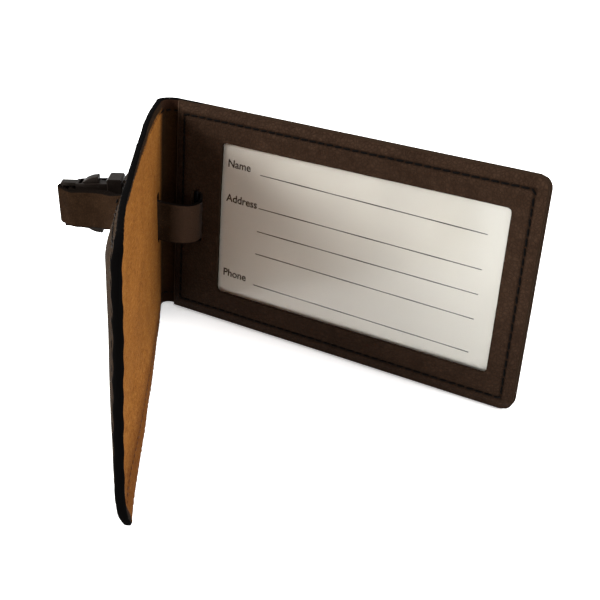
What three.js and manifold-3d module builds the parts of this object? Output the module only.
// Luggage tag: a folded leather sheet (back leaf and privacy cover) with a framed
// window pocket, an insert card and a strap loop closed by a small side-release buckle.
// Millimetres, +Z up. The tag stands on its lower edges at z = 0, the back leaf points
// along +X and its window faces -Y. The origin is in the lower edge of the back leather,
// in mid-thickness at the fold. The model is drawn round the fold axis and then moved.
import * as THREE from "three";
import { mergeVertices } from "three/addons/utils/BufferGeometryUtils.js";
import Module from "manifold-3d";

const wasm = await Module();
wasm.setup();

// ---------------------------------------------------------------- driving dimensions
// Ranges are [min, max] pairs.
const TAG_H = 65;            // height of both leaves, along the fold
const TAG_W = 113;           // length of the back leaf from the fold axis
const COVER_W = 115;         // length of the cover, a little more so that it reaches round
const CORNER_R = 3.5;        // free corners of the leaves
const OPEN_DEG = 56.5;       // angle between the leaves as the tag stands
const LEATHER_T = 1.8;       // outer sheet, both leaves
const LAYER_GAP = 0.05;      // assembly gap between sewn layers
const SLOT_CLEAR = 1;        // slot cutters reach this far past the leather
const OUTLINE_X = -8;        // leaf outlines start here, beyond the bend

const BACK_Y0 = 3.0;         // back leaf: flesh side
const BACK_Y1 = BACK_Y0 + LEATHER_T; // back leaf: grain side
const BACK_STEP_X = 1.0;     // where the back leaf thins to its lip
const BACK_LIP_R0 = 3.7;     // half-lap of the living hinge, outer shell
const BACK_LIP_END = 184;    // degrees round the fold axis where it stops
const ORIGIN_Y = (BACK_LIP_R0 + BACK_Y1) / 2; // from the fold axis to the origin

const COVER_Y0 = 1.6;        // closed cover: flesh side is at -COVER_Y0
const COVER_Y1 = COVER_Y0 + LEATHER_T; // closed cover: grain side is at -COVER_Y1
const COVER_LIP_R0 = 2.2;    // half-lap of the living hinge, inner shell
const COVER_LIP_SPAN = 85;   // degrees it reaches back from the cover

const FRAME_X0 = 1.0;        // frame leather, edge next to the fold
const FRAME_Y0 = 1.2;        // frame leather, grain side
const FRAME_Y1 = FRAME_Y0 + 1.0;
const FRAME_RIM = 2.0;       // width of the edge that is pressed on to the outer sheet
const RIM_OVERLAP = 0.2;     // rim sunk into the frame, to join them
const WINDOW_INSET = 9.5;    // above and below the window
const WINDOW_X = [17.5, 104.5];
const WINDOW_R = 1.2;

const SHEET_INSET = 2.4;     // above and below the clear sheet
const SHEET_X = [14.2, 112.6];
const SHEET_FREE_R = 2.4;
const SHEET_FOLD_R = 0.6;
const SHEET_Y0 = FRAME_Y1 + LAYER_GAP;
const SHEET_Y1 = SHEET_Y0 + 0.26;

const CARD_X0 = 14.8;
const CARD_L = 95;
const CARD_H = 54;
const CARD_T = 0.3;
const CARD_R = 0.8;
const CARD_GAP = 0.1;        // between clear sheet and card

const SEAM_IN = 3.5;         // stitch line, distance from the edge
const SEAM_R = 1.2;
const SEAM_X0 = 4.0;         // seam beside the fold
const BACK_SEAM_END = 6;     // back seam stops this far short of the free edge
const COVER_SEAM_X0 = 1.5;   // where the cover's seam starts, by the bend
const THREAD_W = 0.55;
const THREAD_T = 0.25;

const STRAP_W = 12.0;
const STRAP_T = 1.4;
const STRAP_Z = 31.7;        // mid-height of the strap
const LOOP_R = 10.6;         // strap centre line round the fold
const SLOT_H = 13.6;         // height of the strap slots
const SLOT_R = 1.2;
const BACK_SLOT_X = [8.1, 11.8];
const COVER_SLOT_X = [8.8, 11.7];

const BAR_R = 1.1;           // strap bars of the buckle
const BAR_GAP = 0.12;        // strap round a bar
const BUCKLE_POS = [-33.5, -7.6, 28.3];  // centre of the socket's bar
const BUCKLE_YAW = 28;       // degrees, direction of the buckle from socket bar to plug bar
const BUCKLE_RISE = 3.0;     // degrees, the loop hangs lower at its far end
const BUCKLE_ROLL = 6;       // degrees, its upper side leans forward, towards -Y
const BUCKLE_LEN = 26.0;     // bar to bar

// ---------------------------------------------------------------- materials
const FINISH = {
  backLeather: { color: 0x3a2a22, roughness: 0.62 },
  frameLeather: { color: 0x3c2c24, roughness: 0.66 },
  coverLeather: { color: 0xa86f32, roughness: 0.85 },
  strapLeather: { color: 0x2a1e19, roughness: 0.6 },
  clearSheet: { color: 0xe8eaea, roughness: 0.12, transparent: true, opacity: 0.3 },
  card: { color: 0xd8d4cb, roughness: 0.85 },
  thread: { color: 0x0d0b0a, roughness: 0.7 },
  plastic: { color: 0x241c19, roughness: 0.38 },
};

function mesh(name, geometry, finish) {
  const material = new THREE.MeshStandardMaterial({ metalness: 0, ...finish });
  const piece = new THREE.Mesh(geometry, material);
  piece.name = name;
  return piece;
}

// ---------------------------------------------------------------- solids
function solidOf(geometry) {
  const bare = geometry.clone();
  for (const name of ["normal", "uv"]) bare.deleteAttribute(name);
  const merged = mergeVertices(bare, 1e-5);
  return new wasm.Manifold(new wasm.Mesh({
    numProp: 3,
    vertProperties: new Float32Array(merged.attributes.position.array),
    triVerts: new Uint32Array(merged.index.array),
  }));
}

function geometryOf(solid) {
  const { vertProperties, triVerts } = solid.getMesh();
  const geometry = new THREE.BufferGeometry();
  const positions = new Float32Array(vertProperties);
  geometry.setAttribute("position", new THREE.BufferAttribute(positions, 3));
  geometry.setIndex(new THREE.BufferAttribute(new Uint32Array(triVerts), 1));
  geometry.computeVertexNormals();
  return geometry;
}

// a shape drawn in X-Z, given thickness over a Y range
function sheet(shape, [yMin, yMax], curveSegments = 5) {
  const depth = yMax - yMin;
  const geometry = new THREE.ExtrudeGeometry(shape, { depth, bevelEnabled: false, curveSegments });
  geometry.rotateX(Math.PI / 2);
  geometry.translate(0, yMax, 0);
  return geometry;
}

// a straight-sided shape drawn in plan (X-Y), raised over a Z range
function prism(shape, [zMin, zMax]) {
  const geometry = new THREE.ExtrudeGeometry(shape, { depth: zMax - zMin, bevelEnabled: false });
  geometry.translate(0, 0, zMin);
  return geometry;
}

const sheetSolid = (...args) => solidOf(sheet(...args));
const prismSolid = (...args) => solidOf(prism(...args));

function box(...ranges) {
  const geometry = new THREE.BoxGeometry(...ranges.map(([min, max]) => max - min));
  geometry.translate(...ranges.map(([min, max]) => (min + max) / 2));
  return solidOf(geometry);
}

// ---------------------------------------------------------------- outlines
const rad = (degrees) => (degrees * Math.PI) / 180;
const polar = (radius, deg) => [radius * Math.cos(rad(deg)), radius * Math.sin(rad(deg))];
const plusMinus = (half) => [-half, half];
const insetHeight = (inset) => [inset, TAG_H - inset];

const shapeOf = (points) => new THREE.Shape(points.map(([x, y]) => new THREE.Vector2(x, y)));

// half an outline, closed by its mirror image: each second coordinate becomes sum minus itself
const mirroredShape = (half, sum = 0) =>
  shapeOf([...half, ...half.map(([x, y]) => [x, sum - y]).reverse()]);

function arcPoints(radius, from, to, count, [centreX, centreY] = [0, 0]) {
  return Array.from({ length: count + 1 }, (_, i) => {
    const [x, y] = polar(radius, from + ((to - from) * i) / count);
    return [centreX + x, centreY + y];
  });
}

// foldR rounds the two corners at xMin, freeR the two at xMax
function roundedRect([xMin, xMax], [zMin, zMax], freeR, foldR = freeR) {
  const shape = new THREE.Shape();
  shape.moveTo(xMin + foldR, zMin);
  shape.lineTo(xMax - freeR, zMin);
  shape.absarc(xMax - freeR, zMin + freeR, freeR, -Math.PI / 2, 0, false);
  shape.lineTo(xMax, zMax - freeR);
  shape.absarc(xMax - freeR, zMax - freeR, freeR, 0, Math.PI / 2, false);
  shape.lineTo(xMin + foldR, zMax);
  if (foldR) shape.absarc(xMin + foldR, zMax - foldR, foldR, Math.PI / 2, Math.PI, false);
  shape.lineTo(xMin, zMin + foldR);
  if (foldR) shape.absarc(xMin + foldR, zMin + foldR, foldR, Math.PI, 1.5 * Math.PI, false);
  return shape;
}

const leafOutline = (xMin, xMax) => roundedRect([xMin, xMax], [0, TAG_H], CORNER_R, 0);

// a square-cornered C over the height of the leaf, open towards +X
function bracketShape([xMin, xMax], inset, width) {
  return mirroredShape([
    [xMin, inset],
    [xMax, inset],
    [xMax, inset + width],
    [xMin + width, inset + width],
  ], TAG_H);
}

const slotCutter = (xRange, yRange) =>
  sheetSolid(roundedRect(xRange, [STRAP_Z - SLOT_H / 2, STRAP_Z + SLOT_H / 2], SLOT_R), yRange, 4);

// ---------------------------------------------------------------- back leaf and pocket
function backLeather() {
  const plan = [
    [TAG_W, BACK_Y1],
    ...arcPoints(BACK_Y1, 90, BACK_LIP_END, 12),
    ...arcPoints(BACK_LIP_R0, BACK_LIP_END, 90, 12),
    [BACK_STEP_X, BACK_LIP_R0],
    [BACK_STEP_X, BACK_Y0],
    [TAG_W, BACK_Y0],
  ];
  const solid = prismSolid(shapeOf(plan), [0, TAG_H])
    .intersect(sheetSolid(leafOutline(OUTLINE_X, TAG_W), [BACK_Y0 - 8, BACK_Y1 + 2]))
    .subtract(slotCutter(BACK_SLOT_X, [BACK_Y0 - SLOT_CLEAR, BACK_Y1 + SLOT_CLEAR]));
  return mesh("back_leather", geometryOf(solid), FINISH.backLeather);
}

function frameLeather() {
  const outline = leafOutline(FRAME_X0, TAG_W);
  outline.holes.push(roundedRect(WINDOW_X, insetHeight(WINDOW_INSET), WINDOW_R));
  const rim = bracketShape([FRAME_X0, TAG_W - CORNER_R], 0, FRAME_RIM);
  const solid = sheetSolid(outline, [FRAME_Y0, FRAME_Y1])
    .add(sheetSolid(rim, [FRAME_Y1 - RIM_OVERLAP, BACK_Y0 - LAYER_GAP]))
    .subtract(slotCutter(BACK_SLOT_X, [FRAME_Y0 - SLOT_CLEAR, BACK_Y0]));
  return mesh("frame_leather", geometryOf(solid), FINISH.frameLeather);
}

function windowSheet() {
  const outline = roundedRect(SHEET_X, insetHeight(SHEET_INSET), SHEET_FREE_R, SHEET_FOLD_R);
  return mesh("window_sheet", sheet(outline, [SHEET_Y0, SHEET_Y1]), FINISH.clearSheet);
}

function insertCard() {
  const inset = (TAG_H - CARD_H) / 2;
  const outline = roundedRect([CARD_X0, CARD_X0 + CARD_L], [inset, inset + CARD_H], CARD_R);
  const yMin = SHEET_Y1 + CARD_GAP;
  return mesh("insert_card", sheet(outline, [yMin, yMin + CARD_T], 2), FINISH.card);
}

// ---------------------------------------------------------------- seams of the leaves
const HALF_THREAD = THREAD_W / 2;

// Y range of a thread lying on the +Y or the -Y side of a surface
const threadAbove = (y) => [y + LAYER_GAP, y + LAYER_GAP + THREAD_T];
const threadBelow = (y) => [y - LAYER_GAP - THREAD_T, y - LAYER_GAP];

// closed seam round the frame
function frameSeam() {
  const ringEdge = (grow) => roundedRect(
    [SEAM_X0 - grow, TAG_W - SEAM_IN + grow],
    [SEAM_IN - grow, TAG_H - SEAM_IN + grow],
    SEAM_R + grow,
  );
  const ring = ringEdge(HALF_THREAD);
  ring.holes.push(ringEdge(-HALF_THREAD));
  return mesh("frame_seam_thread", sheet(ring, threadBelow(FRAME_Y0), 3), FINISH.thread);
}

// the back of the pocket is sewn on three sides: the end away from the fold is its mouth
function backSeam() {
  const xRange = [SEAM_X0 - HALF_THREAD, TAG_W - BACK_SEAM_END];
  const outline = bracketShape(xRange, SEAM_IN - HALF_THREAD, THREAD_W);
  return mesh("back_seam_thread", sheet(outline, threadAbove(BACK_Y1)), FINISH.thread);
}

// the cover's seam runs round its three free sides
function coverSeam(name, yRange) {
  const [low, high] = insetHeight(SEAM_IN);
  const xEnd = COVER_W - SEAM_IN;
  const arcX = xEnd - SEAM_R;
  const outerR = SEAM_R + HALF_THREAD;
  const innerR = SEAM_R - HALF_THREAD;
  const shape = new THREE.Shape();
  shape.moveTo(COVER_SEAM_X0, low - HALF_THREAD);
  shape.lineTo(arcX, low - HALF_THREAD);
  shape.absarc(arcX, low + SEAM_R, outerR, -Math.PI / 2, 0, false);
  shape.lineTo(xEnd + HALF_THREAD, high - SEAM_R);
  shape.absarc(arcX, high - SEAM_R, outerR, 0, Math.PI / 2, false);
  shape.lineTo(COVER_SEAM_X0, high + HALF_THREAD);
  shape.lineTo(COVER_SEAM_X0, high - HALF_THREAD);
  shape.lineTo(arcX, high - HALF_THREAD);
  shape.absarc(arcX, high - SEAM_R, innerR, Math.PI / 2, 0, true);
  shape.lineTo(xEnd - HALF_THREAD, low + SEAM_R);
  shape.absarc(arcX, low + SEAM_R, innerR, 0, -Math.PI / 2, true);
  shape.lineTo(COVER_SEAM_X0, low + HALF_THREAD);
  return mesh(name, sheet(shape, yRange, 3), FINISH.thread);
}

// ---------------------------------------------------------------- cover
function coverLeather() {
  const lipEnd = 270 - COVER_LIP_SPAN;
  const plan = [
    [COVER_W, -COVER_Y0],
    [0, -COVER_Y0],
    [0, -COVER_LIP_R0],
    ...arcPoints(COVER_LIP_R0, 270, lipEnd, 10).slice(1),
    ...arcPoints(COVER_Y1, lipEnd, 270, 10),
    [COVER_W, -COVER_Y1],
  ];
  const solid = prismSolid(shapeOf(plan), [0, TAG_H])
    .intersect(sheetSolid(leafOutline(OUTLINE_X, COVER_W), [-COVER_Y1 - 2, 4]))
    .subtract(slotCutter(COVER_SLOT_X, [-COVER_Y1 - SLOT_CLEAR, -COVER_Y0 + SLOT_CLEAR]));
  return mesh("cover_leather", geometryOf(solid), FINISH.coverLeather);
}

// drawn closed and turned open
function coverGroup() {
  const cover = new THREE.Group();
  cover.rotation.z = -rad(OPEN_DEG);
  cover.add(
    coverLeather(),
    coverSeam("cover_seam_thread_inner", threadAbove(-COVER_Y0)),
    coverSeam("cover_seam_thread_outer", threadBelow(-COVER_Y1)),
  );
  return cover;
}

// ---------------------------------------------------------------- buckle frame of reference
// Buckle x runs from socket bar to plug bar, y through its thickness, z along the bars.
const [BUCKLE_X, BUCKLE_Y] = BUCKLE_POS;
const yaw = rad(BUCKLE_YAW);
const rise = rad(BUCKLE_RISE);

function makeBuckleFrame() {
  const axisX = new THREE.Vector3(
    Math.cos(yaw) * Math.cos(rise),
    Math.sin(yaw) * Math.cos(rise),
    Math.sin(rise),
  );
  const axisY = new THREE.Vector3(-Math.sin(yaw), Math.cos(yaw), 0)
    .applyAxisAngle(axisX, rad(BUCKLE_ROLL));
  const axisZ = new THREE.Vector3().crossVectors(axisX, axisY);
  return new THREE.Matrix4().makeBasis(axisX, axisY, axisZ).setPosition(...BUCKLE_POS);
}
const buckleFrame = makeBuckleFrame();

// level buckle coordinates to plan coordinates
const toPlan = ([along, across]) => [
  BUCKLE_X + along * Math.cos(yaw) - across * Math.sin(yaw),
  BUCKLE_Y + along * Math.sin(yaw) + across * Math.cos(yaw),
];

// ---------------------------------------------------------------- strap
// The strap is drawn in plan as a ribbon on edge and then hung: beyond the slots it
// follows the buckle, which sits a little lower and tilted.
const ARM_SPLIT_DEG = -110.5; // where the rear strap begins, round the fold
const ARM_GAP_DEG = 3.4;      // from there to the start of the front arm
const WRAP_R = BAR_R + BAR_GAP + STRAP_T / 2;
const TAIL_OFFSET = STRAP_T + LAYER_GAP;
const FRONT_TAIL_X = [-29.6, -8.2];
const REAR_TAIL_X = [-4.6, 3.6];
const REAR_TAIL_MIN_Y = 6;
const FRONT_TURN_R = 1.0;     // bend of the front tail as it leaves the bar
const FRONT_TURN_DROP = 0.25;

// the hang starts at x = start and is complete after a further length towards -X
const FRONT_HANG = { start: -5, length: 23 };
const REAR_HANG = { start: 6, length: 12 };

// seams that hold the tails: x of the seam, side of the strap (-1 is -Y, 1 is +Y)
const FRONT_SEAM = { x: -9.0, side: -1 };
const REAR_SEAM = { x: 0.2, side: 1 };
const STRAP_SEAM_HALF_W = 0.3;
const STRAP_SEAM_GAP = 0.08;
const STRAP_SEAM_TRIM = 1.6;  // from the strap's edges to the seam's ends
const STRAP_SEAM_MIN_Y = 5;   // only points further than this from y = 0 are considered

function spline(points, count) {
  const stations = points.map(([x, y]) => new THREE.Vector3(x, y, 0));
  const curve = new THREE.CatmullRomCurve3(stations, false, "centripetal");
  return curve.getPoints(count).map(({ x, y }) => [x, y]);
}

// unit direction of a path at point i, from its neighbours
function directionAt(points, i) {
  const before = points[Math.max(0, i - 1)];
  const after = points[Math.min(points.length - 1, i + 1)];
  const x = after[0] - before[0];
  const y = after[1] - before[1];
  const length = Math.hypot(x, y);
  return [x / length, y / length];
}

// the path moved to its left by a distance
function offsetPath(points, distance) {
  return points.map(([x, y], i) => {
    const [directionX, directionY] = directionAt(points, i);
    return [x - directionY * distance, y + directionX * distance];
  });
}

const ribbon = (points) => shapeOf([
  ...offsetPath(points, STRAP_T / 2),
  ...offsetPath(points, -STRAP_T / 2).reverse(),
]);

const clamp01 = (value) => THREE.MathUtils.clamp(value, 0, 1);
const hangShare = ({ start, length }, x) => clamp01((start - x) / length);
const frontShare = (x) => hangShare(FRONT_HANG, x);
const rearShare = (x, y) => (y > 0 ? hangShare(REAR_HANG, x) : 0);

// moves each point towards its place in the tilted buckle frame, by its share
function hang(geometry, share) {
  const positions = geometry.attributes.position;
  const point = new THREE.Vector3();
  const hung = new THREE.Vector3();
  for (let i = 0; i < positions.count; i++) {
    point.fromBufferAttribute(positions, i);
    const x = point.x - BUCKLE_X;
    const y = point.y - BUCKLE_Y;
    hung.set(
      x * Math.cos(yaw) + y * Math.sin(yaw),
      -x * Math.sin(yaw) + y * Math.cos(yaw),
      point.z - STRAP_Z,
    ).applyMatrix4(buckleFrame);
    point.lerp(hung, share(point.x, point.y));
    positions.setXYZ(i, point.x, point.y, point.z);
  }
  geometry.computeVertexNormals();
  return geometry;
}

const strapHeight = (trim) => [STRAP_Z - STRAP_W / 2 + trim, STRAP_Z + STRAP_W / 2 - trim];

const strap = (name, points, share) =>
  mesh(name, hang(prism(ribbon(points), strapHeight(0)), share), FINISH.strapLeather);

// front arm: from outside the cover's slot to the socket's bar; plan stations, x and y
const frontRun = spline([
  polar(LOOP_R, ARM_SPLIT_DEG - ARM_GAP_DEG),
  [-7.6, -12.4], [-11, -11.8], [-14, -10.6], [-17, -9.5],
  [-20.5, -9.1], [-25, -9.5], [-29.5, -10.25],
  [BUCKLE_X, BUCKLE_Y - WRAP_R],
], 30);

// the arm goes on round the bar and comes back as a sewn tail
function frontStrap() {
  const wrap = arcPoints(WRAP_R, -90, -360, 18, [BUCKLE_X, BUCKLE_Y]).slice(1);
  const turnCentre = [BUCKLE_X + WRAP_R + FRONT_TURN_R, BUCKLE_Y - FRONT_TURN_DROP];
  const turn = arcPoints(FRONT_TURN_R, 180, 255, 5, turnCentre);
  const tail = offsetPath(frontRun, -TAIL_OFFSET)
    .filter(([x]) => x > FRONT_TAIL_X[0] && x < FRONT_TAIL_X[1])
    .reverse();
  return strap("strap_front", [...frontRun, ...wrap, ...turn, ...tail], frontShare);
}

// bridge and rear arm: through both slots, behind the back leaf, to the plug's bar
const rearRun = [
  ...arcPoints(LOOP_R, ARM_SPLIT_DEG, 30, 34),
  ...spline([
    polar(LOOP_R, 30),
    [6.9, 8.0], [3.8, 9.2], [0, 9.6], [-4.4, 9.0], [-8.4, 7.75],
    toPlan([BUCKLE_LEN, WRAP_R]),
  ], 20).slice(1),
];

function rearStrap() {
  const wrap = arcPoints(WRAP_R, 90, 270, 12, [BUCKLE_LEN, 0]).slice(1).map(toPlan);
  const tail = offsetPath(rearRun, TAIL_OFFSET)
    .filter(([x, y]) => y > REAR_TAIL_MIN_Y && x > REAR_TAIL_X[0] && x < REAR_TAIL_X[1])
    .reverse();
  const lead = spline([
    toPlan([BUCKLE_LEN, -WRAP_R]),
    toPlan([BUCKLE_LEN + 2.2, -WRAP_R + 0.25]),
    tail[0],
  ], 6).slice(1, -1);
  return strap("strap_rear", [...rearRun, ...wrap, ...lead, ...tail], rearShare);
}

// an upright thread on the outside of the strap, at the path point nearest to the seam's x
function strapSeam(name, points, seam, share) {
  let nearest = 1;
  for (let i = 1; i < points.length - 1; i++) {
    const onSide = points[i][1] * seam.side > STRAP_SEAM_MIN_Y;
    const closer = Math.abs(points[i][0] - seam.x) < Math.abs(points[nearest][0] - seam.x);
    if (onSide && closer) nearest = i;
  }
  const [x, y] = points[nearest];
  const [directionX, directionY] = directionAt(points, nearest);
  const place = (along, out) => [
    x + directionX * along + seam.side * directionY * out,
    y + directionY * along - seam.side * directionX * out,
  ];
  const base = STRAP_T / 2 + STRAP_SEAM_GAP;
  const top = base + THREAD_T;
  const section = shapeOf([
    place(-STRAP_SEAM_HALF_W, base),
    place(STRAP_SEAM_HALF_W, base),
    place(STRAP_SEAM_HALF_W, top),
    place(-STRAP_SEAM_HALF_W, top),
  ]);
  return mesh(name, hang(prism(section, strapHeight(STRAP_SEAM_TRIM)), share), FINISH.thread);
}

// ---------------------------------------------------------------- buckle, in its own coordinates
const RAIL_IN = STRAP_W / 2 + 0.25;  // side rails, half widths inside and outside
const RAIL_OUT = RAIL_IN + 1.1;
const RAIL_HALF_T = 1.3;
const BAR_HALF_LEN = RAIL_OUT - 0.3;
const MOUTH_HALF_W = 9.3;            // half width of the mouth ring
const MOUTH_CHAMFER = 0.5;
const [RING_X0, RING_X1] = [13.4, 18.2];
const SOCKET_X0 = 3.6;               // where the socket's plates begin
const CAVITY_HALF_T = 1.85;          // hollow of the socket
const CAVITY_HALF_W = 8.0;           // hollow of the mouth ring
const PLUG_X = 18.5;                 // face of the plug that meets the mouth ring
const PLUG_CHAMFER = 0.4;
const PLUG_HALF_T = 2.8;
const PLUG_END_X = BUCKLE_LEN + BAR_R;
const PRONG_HALF_T = 1.55;
const CUT_OVERLAP = 0.01;            // the two hollows of the socket meet with this overlap
const OUTLINE_HALF_W = 12;           // side outlines are raised past the buckle's width
const OUTLINE_HALF_T = 5;            // top outlines are raised past its thickness

// half outlines, mirrored to full ones: x and y (side) or x and z (top)
const SOCKET_SIDE = [
  [SOCKET_X0, -2.0], [6.5, -2.6], [RING_X0, -2.6], [RING_X0 + 0.4, -2.95],
  [RING_X1 - 0.3, -2.95], [RING_X1, -2.65],
];
const SOCKET_TOP = [
  [SOCKET_X0, -RAIL_OUT],
  [RING_X0, -7.7],
  [RING_X0, -MOUTH_HALF_W + MOUTH_CHAMFER],
  [RING_X0 + MOUTH_CHAMFER, -MOUTH_HALF_W],
  [RING_X1 - MOUTH_CHAMFER, -MOUTH_HALF_W],
  [RING_X1, -MOUTH_HALF_W + MOUTH_CHAMFER],
];
const PLUG_SIDE = [
  [PLUG_X, -PLUG_HALF_T], [21.8, -PLUG_HALF_T],
  [23.6, -RAIL_HALF_T], [PLUG_END_X, -RAIL_HALF_T],
];
const PLUG_TOP = [
  [PLUG_X, -MOUTH_HALF_W + PLUG_CHAMFER],
  [PLUG_X + PLUG_CHAMFER, -MOUTH_HALF_W],
  [PLUG_X + 2.6, -MOUTH_HALF_W],
  [23.4, -RAIL_OUT],
  [PLUG_END_X, -RAIL_OUT],
];
// outline of the upper prong, x and z
const PRONG_OUTLINE = [
  [18.2, 5.9], [18.2, 7.3], [11.4, 7.35], [10.8, 7.6], [10.7, 9.3], [10.3, 9.45], [8.6, 9.2],
  [7.2, 8.65], [5.9, 7.8], [5.1, 6.9], [4.7, 6.0], [5.0, 5.3], [6.6, 5.2], [10.4, 5.9],
];

const sideSolid = (half) => prismSolid(mirroredShape(half), plusMinus(OUTLINE_HALF_W));
const topSolid = (half) => sheetSolid(mirroredShape(half), plusMinus(OUTLINE_HALF_T));

function strapBar(x) {
  const geometry = new THREE.CylinderGeometry(BAR_R, BAR_R, 2 * BAR_HALF_LEN, 16);
  geometry.rotateX(Math.PI / 2);
  geometry.translate(x, 0, 0);
  return solidOf(geometry);
}

// bar, side rails, two plates with side windows between them, and the mouth ring
function socket() {
  const cavity = plusMinus(CAVITY_HALF_T);
  const rails = box([-BAR_R, 4.2], plusMinus(RAIL_HALF_T), plusMinus(RAIL_OUT))
    .subtract(box([-3, SOCKET_X0], plusMinus(2), plusMinus(RAIL_IN)));
  const solid = sideSolid(SOCKET_SIDE)
    .intersect(topSolid(SOCKET_TOP))
    .subtract(box([4.4, RING_X0 + CUT_OVERLAP], cavity, plusMinus(OUTLINE_HALF_W)))
    .subtract(box([RING_X0 - CUT_OVERLAP, 30], cavity, plusMinus(CAVITY_HALF_W)))
    .add(rails)
    .add(strapBar(0));
  return mesh("buckle_socket", geometryOf(solid), FINISH.plastic);
}

// base with the strap slot and end bar, and the centre guide
function plug() {
  const guide = box([6.6, PLUG_X + 0.5], plusMinus(RAIL_HALF_T), plusMinus(1.3));
  const solid = topSolid(PLUG_TOP)
    .intersect(sideSolid(PLUG_SIDE))
    .subtract(box([22.7, 32], plusMinus(4), plusMinus(RAIL_IN)))
    .add(strapBar(BUCKLE_LEN))
    .add(guide);
  return mesh("buckle_plug", geometryOf(solid), FINISH.plastic);
}

// a spring arm of the plug, with the latch head that shows in a side window
function prong(name, side) {
  const outline = shapeOf(PRONG_OUTLINE.map(([x, z]) => [x, side * z]));
  return mesh(name, sheet(outline, plusMinus(PRONG_HALF_T)), FINISH.plastic);
}

function buckleGroup() {
  const buckle = new THREE.Group();
  buckle.position.set(...BUCKLE_POS);
  buckle.quaternion.setFromRotationMatrix(buckleFrame);
  buckle.add(socket(), plug(), prong("prong_upper", 1), prong("prong_lower", -1));
  return buckle;
}

// ---------------------------------------------------------------- assembly
const tag = new THREE.Group();
tag.add(
  backLeather(),
  frameLeather(),
  windowSheet(),
  insertCard(),
  frameSeam(),
  backSeam(),
  coverGroup(),
  buckleGroup(),
  frontStrap(),
  rearStrap(),
  strapSeam("strap_front_thread", frontRun, FRONT_SEAM, frontShare),
  strapSeam("strap_rear_thread", rearRun, REAR_SEAM, rearShare),
);
tag.position.y = -ORIGIN_Y;

export default tag;
